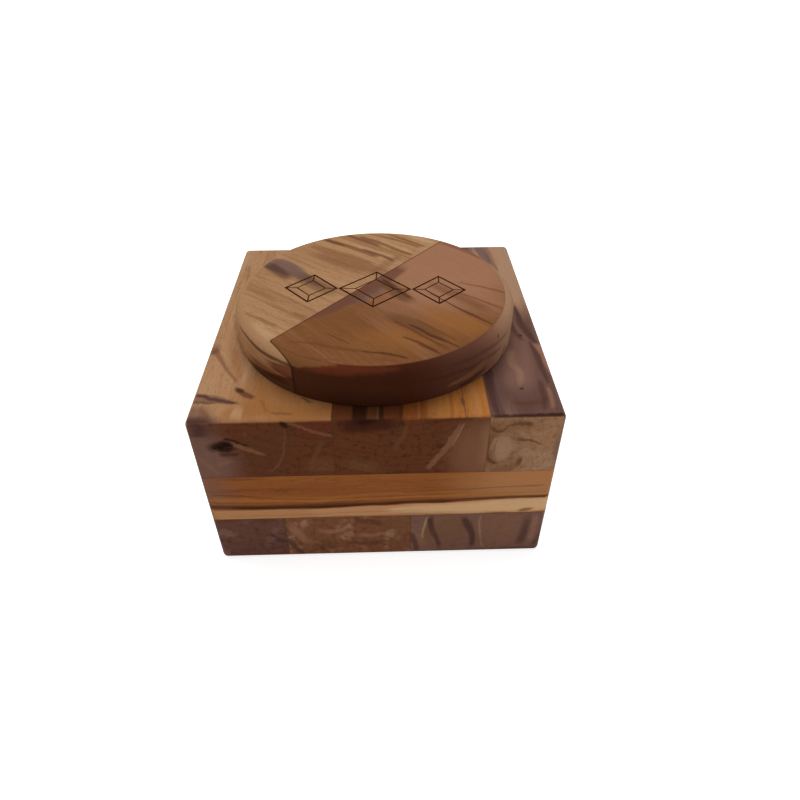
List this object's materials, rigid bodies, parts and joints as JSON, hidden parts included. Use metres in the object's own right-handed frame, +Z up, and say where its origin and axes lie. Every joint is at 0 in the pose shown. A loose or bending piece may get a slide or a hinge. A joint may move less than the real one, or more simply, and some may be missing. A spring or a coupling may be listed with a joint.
{
  "type": "salt box",
  "caption": "Square salt box of crossed, glued teak blocks with a round well, closed by a thick round lid that swivels sideways on an upright pin hidden under its rim.",
  "frame": {"origin": "middle of the box's underside, on the surface it stands on", "axes": "+Z up, -Y towards the front of the box, +X to the right as seen from the front"},
  "size_m": [0.12, 0.12, 0.0825],
  "materials": {
    "bottom_left_teak": "oiled",
    "bottom_centre_teak": "oiled",
    "bottom_right_teak": "oiled",
    "middle_front_teak": "oiled",
    "middle_left_teak": "oiled",
    "middle_right_teak": "oiled",
    "middle_back_teak": "oiled",
    "top_left_teak": "oiled",
    "top_centre_front_teak": "oiled",
    "top_centre_back_teak": "oiled",
    "top_right_teak": "oiled",
    "lid_pale_teak": "oiled",
    "lid_brown_teak": "oiled",
    "lid_corner_teak": "oiled",
    "pin_steel": "satin"
  },
  "bodies": {
    "box": {"bottom_left_block": "bottom_left_teak", "bottom_centre_block": "bottom_centre_teak", "bottom_right_block": "bottom_right_teak", "middle_front_board": "middle_front_teak", "middle_left_board": "middle_left_teak", "middle_right_board": "middle_right_teak", "middle_back_board": "middle_back_teak", "top_left_block": "top_left_teak", "top_centre_front_block": "top_centre_front_teak", "top_centre_back_block": "top_centre_back_teak", "top_right_block": "top_right_teak", "pivot_pin": "pin_steel"},
    "lid": {"lid_pale_board": "lid_pale_teak", "lid_brown_board": "lid_brown_teak", "lid_corner_board": "lid_corner_teak"}
  },
  "joints": [
    {"name": "lid_swivel", "type": "hinge", "parent": "box", "child": "lid", "pos_m": [-0.04392, 0.00269, 0.0685], "axis": [0, 0, 1], "continuous": true}
  ]
}
